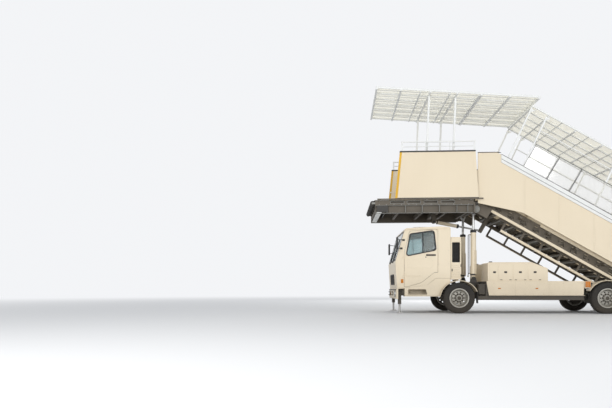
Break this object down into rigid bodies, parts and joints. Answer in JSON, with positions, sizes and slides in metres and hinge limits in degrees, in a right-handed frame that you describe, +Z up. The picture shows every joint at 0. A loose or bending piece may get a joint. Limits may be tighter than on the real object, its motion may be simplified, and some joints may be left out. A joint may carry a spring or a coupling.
{
  "type": "mobile aircraft stairs",
  "caption": "Self-propelled passenger stairs for aircraft: a low cab truck with a telescopic covered flight and a canopied boarding platform over the cab.",
  "frame": {"origin": "on the ground, under the middle of the bounding box", "axes": "+X forward to the platform's bumper, +Y to the vehicle's left, +Z up"},
  "size_m": [7.16, 2.47, 5.5065],
  "materials": {
    "frame_paint": "satin",
    "body_paint": "gloss",
    "grey_steel": "satin",
    "white_frame": "gloss",
    "bare_steel": "brushed",
    "tyre_rubber": "matte",
    "bumper_rubber": "matte",
    "cab_trim": "matte",
    "window_glass": "clear",
    "canopy_sheet": "translucent",
    "lamp_lens": "gloss",
    "rim_steel": "satin"
  },
  "bodies": {
    "chassis": {"chassis_frame": "frame_paint", "deck": "body_paint", "equipment_boxes": "body_paint", "engine": "grey_steel", "axles": "grey_steel", "cab_body": "body_paint", "cab_front": "body_paint", "cab_roof": "body_paint", "cab_glass": "window_glass", "cab_interior": "cab_trim", "mirrors": "cab_trim", "lamps": "lamp_lens"},
    "knuckle_left": {"knuckle_left": "grey_steel"},
    "knuckle_right": {"knuckle_right": "grey_steel"},
    "tie_rod": {"tie_rod": "frame_paint"},
    "wheel_front_left": {"tyre_front_left": "tyre_rubber", "rim_front_left": "rim_steel"},
    "wheel_front_right": {"tyre_front_right": "tyre_rubber", "rim_front_right": "rim_steel"},
    "wheel_rear_left": {"tyre_rear_left": "tyre_rubber", "rim_rear_left": "rim_steel"},
    "wheel_rear_right": {"tyre_rear_right": "tyre_rubber", "rim_rear_right": "rim_steel"},
    "door_left": {"door_left": "body_paint", "door_glass_left": "window_glass"},
    "door_right": {"door_right": "body_paint", "door_glass_right": "window_glass"},
    "front_jacks": {"front_jacks": "bare_steel"},
    "rear_jacks": {"rear_jacks": "bare_steel"},
    "lift_barrels": {"lift_barrels": "body_paint"},
    "lift_rods": {"lift_rods": "bare_steel"},
    "lower_stair": {"lower_flight": "grey_steel", "lower_guards": "body_paint"},
    "upper_stair": {"upper_flight": "grey_steel", "upper_guards": "body_paint", "stair_canopy_frame": "white_frame", "stair_glazing": "canopy_sheet"},
    "platform": {"platform_frame": "grey_steel", "platform_bumper": "bumper_rubber", "platform_canopy_frame": "white_frame", "platform_canopy_sheet": "canopy_sheet"},
    "guard_left": {"guard_left": "body_paint"},
    "guard_right": {"guard_right": "body_paint"},
    "level_barrel": {"level_barrel": "body_paint"},
    "level_rod": {"level_rod": "bare_steel"}
  },
  "joints": [
    {"name": "lift", "type": "hinge", "parent": "chassis", "child": "lower_stair", "pos_m": [-2.53, 0, 0.55], "axis": [0, -1, 0], "range_deg": [-2, 10]},
    {"name": "stair_extend", "type": "slide", "parent": "lower_stair", "child": "upper_stair", "axis": [0.866, 0, 0.5], "range_m": [-0.053, 0.262]},
    {"name": "platform_level", "type": "hinge", "parent": "upper_stair", "child": "platform", "pos_m": [0.98744, 0, 2.5577], "axis": [0, -1, 0], "range_deg": [-10, 2]},
    {"name": "guard_left_slide", "type": "slide", "parent": "platform", "child": "guard_left", "axis": [1, 0, 0], "range_m": [0, 0.45]},
    {"name": "guard_right_slide", "type": "slide", "parent": "platform", "child": "guard_right", "axis": [1, 0, 0], "range_m": [0, 0.45]},
    {"name": "level_barrel_tilt", "type": "hinge", "parent": "platform", "child": "level_barrel", "pos_m": [1.86744, 0, 2.3577], "axis": [0, -1, 0], "range_deg": [-0.65, 3.2]},
    {"name": "level_stroke", "type": "slide", "parent": "level_barrel", "child": "level_rod", "axis": [-0.9806, 0, -0.1961], "range_m": [-0.068, 0.014]},
    {"name": "lift_barrel_tilt", "type": "hinge", "parent": "chassis", "child": "lift_barrels", "pos_m": [0.98744, 0, 0.86], "axis": [0, -1, 0], "range_deg": [-0.93, 4.65]},
    {"name": "lift_stroke", "type": "slide", "parent": "lift_barrels", "child": "lift_rods", "axis": [0, 0, 1], "range_m": [-0.151, 0.755]},
    {"name": "steer_left", "type": "hinge", "parent": "chassis", "child": "knuckle_left", "pos_m": [1.42, 0.845, 0.377], "axis": [0, 0, 1], "range_deg": [-30, 30]},
    {"name": "steer_right", "type": "hinge", "parent": "chassis", "child": "knuckle_right", "pos_m": [1.42, -0.845, 0.377], "axis": [0, 0, 1], "range_deg": [-30, 30]},
    {"name": "tie_rod_swing", "type": "hinge", "parent": "knuckle_left", "child": "tie_rod", "pos_m": [1.27, 0.81, 0.225], "axis": [0, 0, 1], "range_deg": [-31.4, 31.4]},
    {"name": "wheel_front_left_spin", "type": "hinge", "parent": "knuckle_left", "child": "wheel_front_left", "pos_m": [1.42, 0.945, 0.377], "axis": [0, 1, 0], "continuous": true},
    {"name": "wheel_front_right_spin", "type": "hinge", "parent": "knuckle_right", "child": "wheel_front_right", "pos_m": [1.42, -0.945, 0.377], "axis": [0, 1, 0], "continuous": true},
    {"name": "wheel_rear_left_spin", "type": "hinge", "parent": "chassis", "child": "wheel_rear_left", "pos_m": [-2.08, 0.945, 0.377], "axis": [0, 1, 0], "continuous": true},
    {"name": "wheel_rear_right_spin", "type": "hinge", "parent": "chassis", "child": "wheel_rear_right", "pos_m": [-2.08, -0.945, 0.377], "axis": [0, 1, 0], "continuous": true},
    {"name": "door_left_swing", "type": "hinge", "parent": "chassis", "child": "door_left", "pos_m": [2.743, 0.989, 1.1], "axis": [0, 0, -1], "range_deg": [0, 70]},
    {"name": "door_right_swing", "type": "hinge", "parent": "chassis", "child": "door_right", "pos_m": [2.743, -0.989, 1.1], "axis": [0, 0, 1], "range_deg": [0, 70]},
    {"name": "front_jacks_lift", "type": "slide", "parent": "chassis", "child": "front_jacks", "axis": [0, 0, 1], "range_m": [0, 0.18]},
    {"name": "rear_jacks_lift", "type": "slide", "parent": "chassis", "child": "rear_jacks", "axis": [0, 0, 1], "range_m": [0, 0.18]}
  ],
  "couplings": [
    {"joint": "stair_extend", "follows": "lift", "m_per_rad": 1.5},
    {"joint": "platform_level", "follows": "lift", "ratio": -1},
    {"joint": "level_barrel_tilt", "follows": "lift", "ratio": 0.3196},
    {"joint": "level_stroke", "follows": "lift", "m_per_rad": -0.3859},
    {"joint": "lift_barrel_tilt", "follows": "lift", "ratio": 0.464},
    {"joint": "lift_stroke", "follows": "lift", "m_per_rad": 4.32},
    {"joint": "steer_right", "follows": "steer_left", "ratio": 1},
    {"joint": "tie_rod_swing", "follows": "steer_left", "ratio": -1.0432}
  ]
}
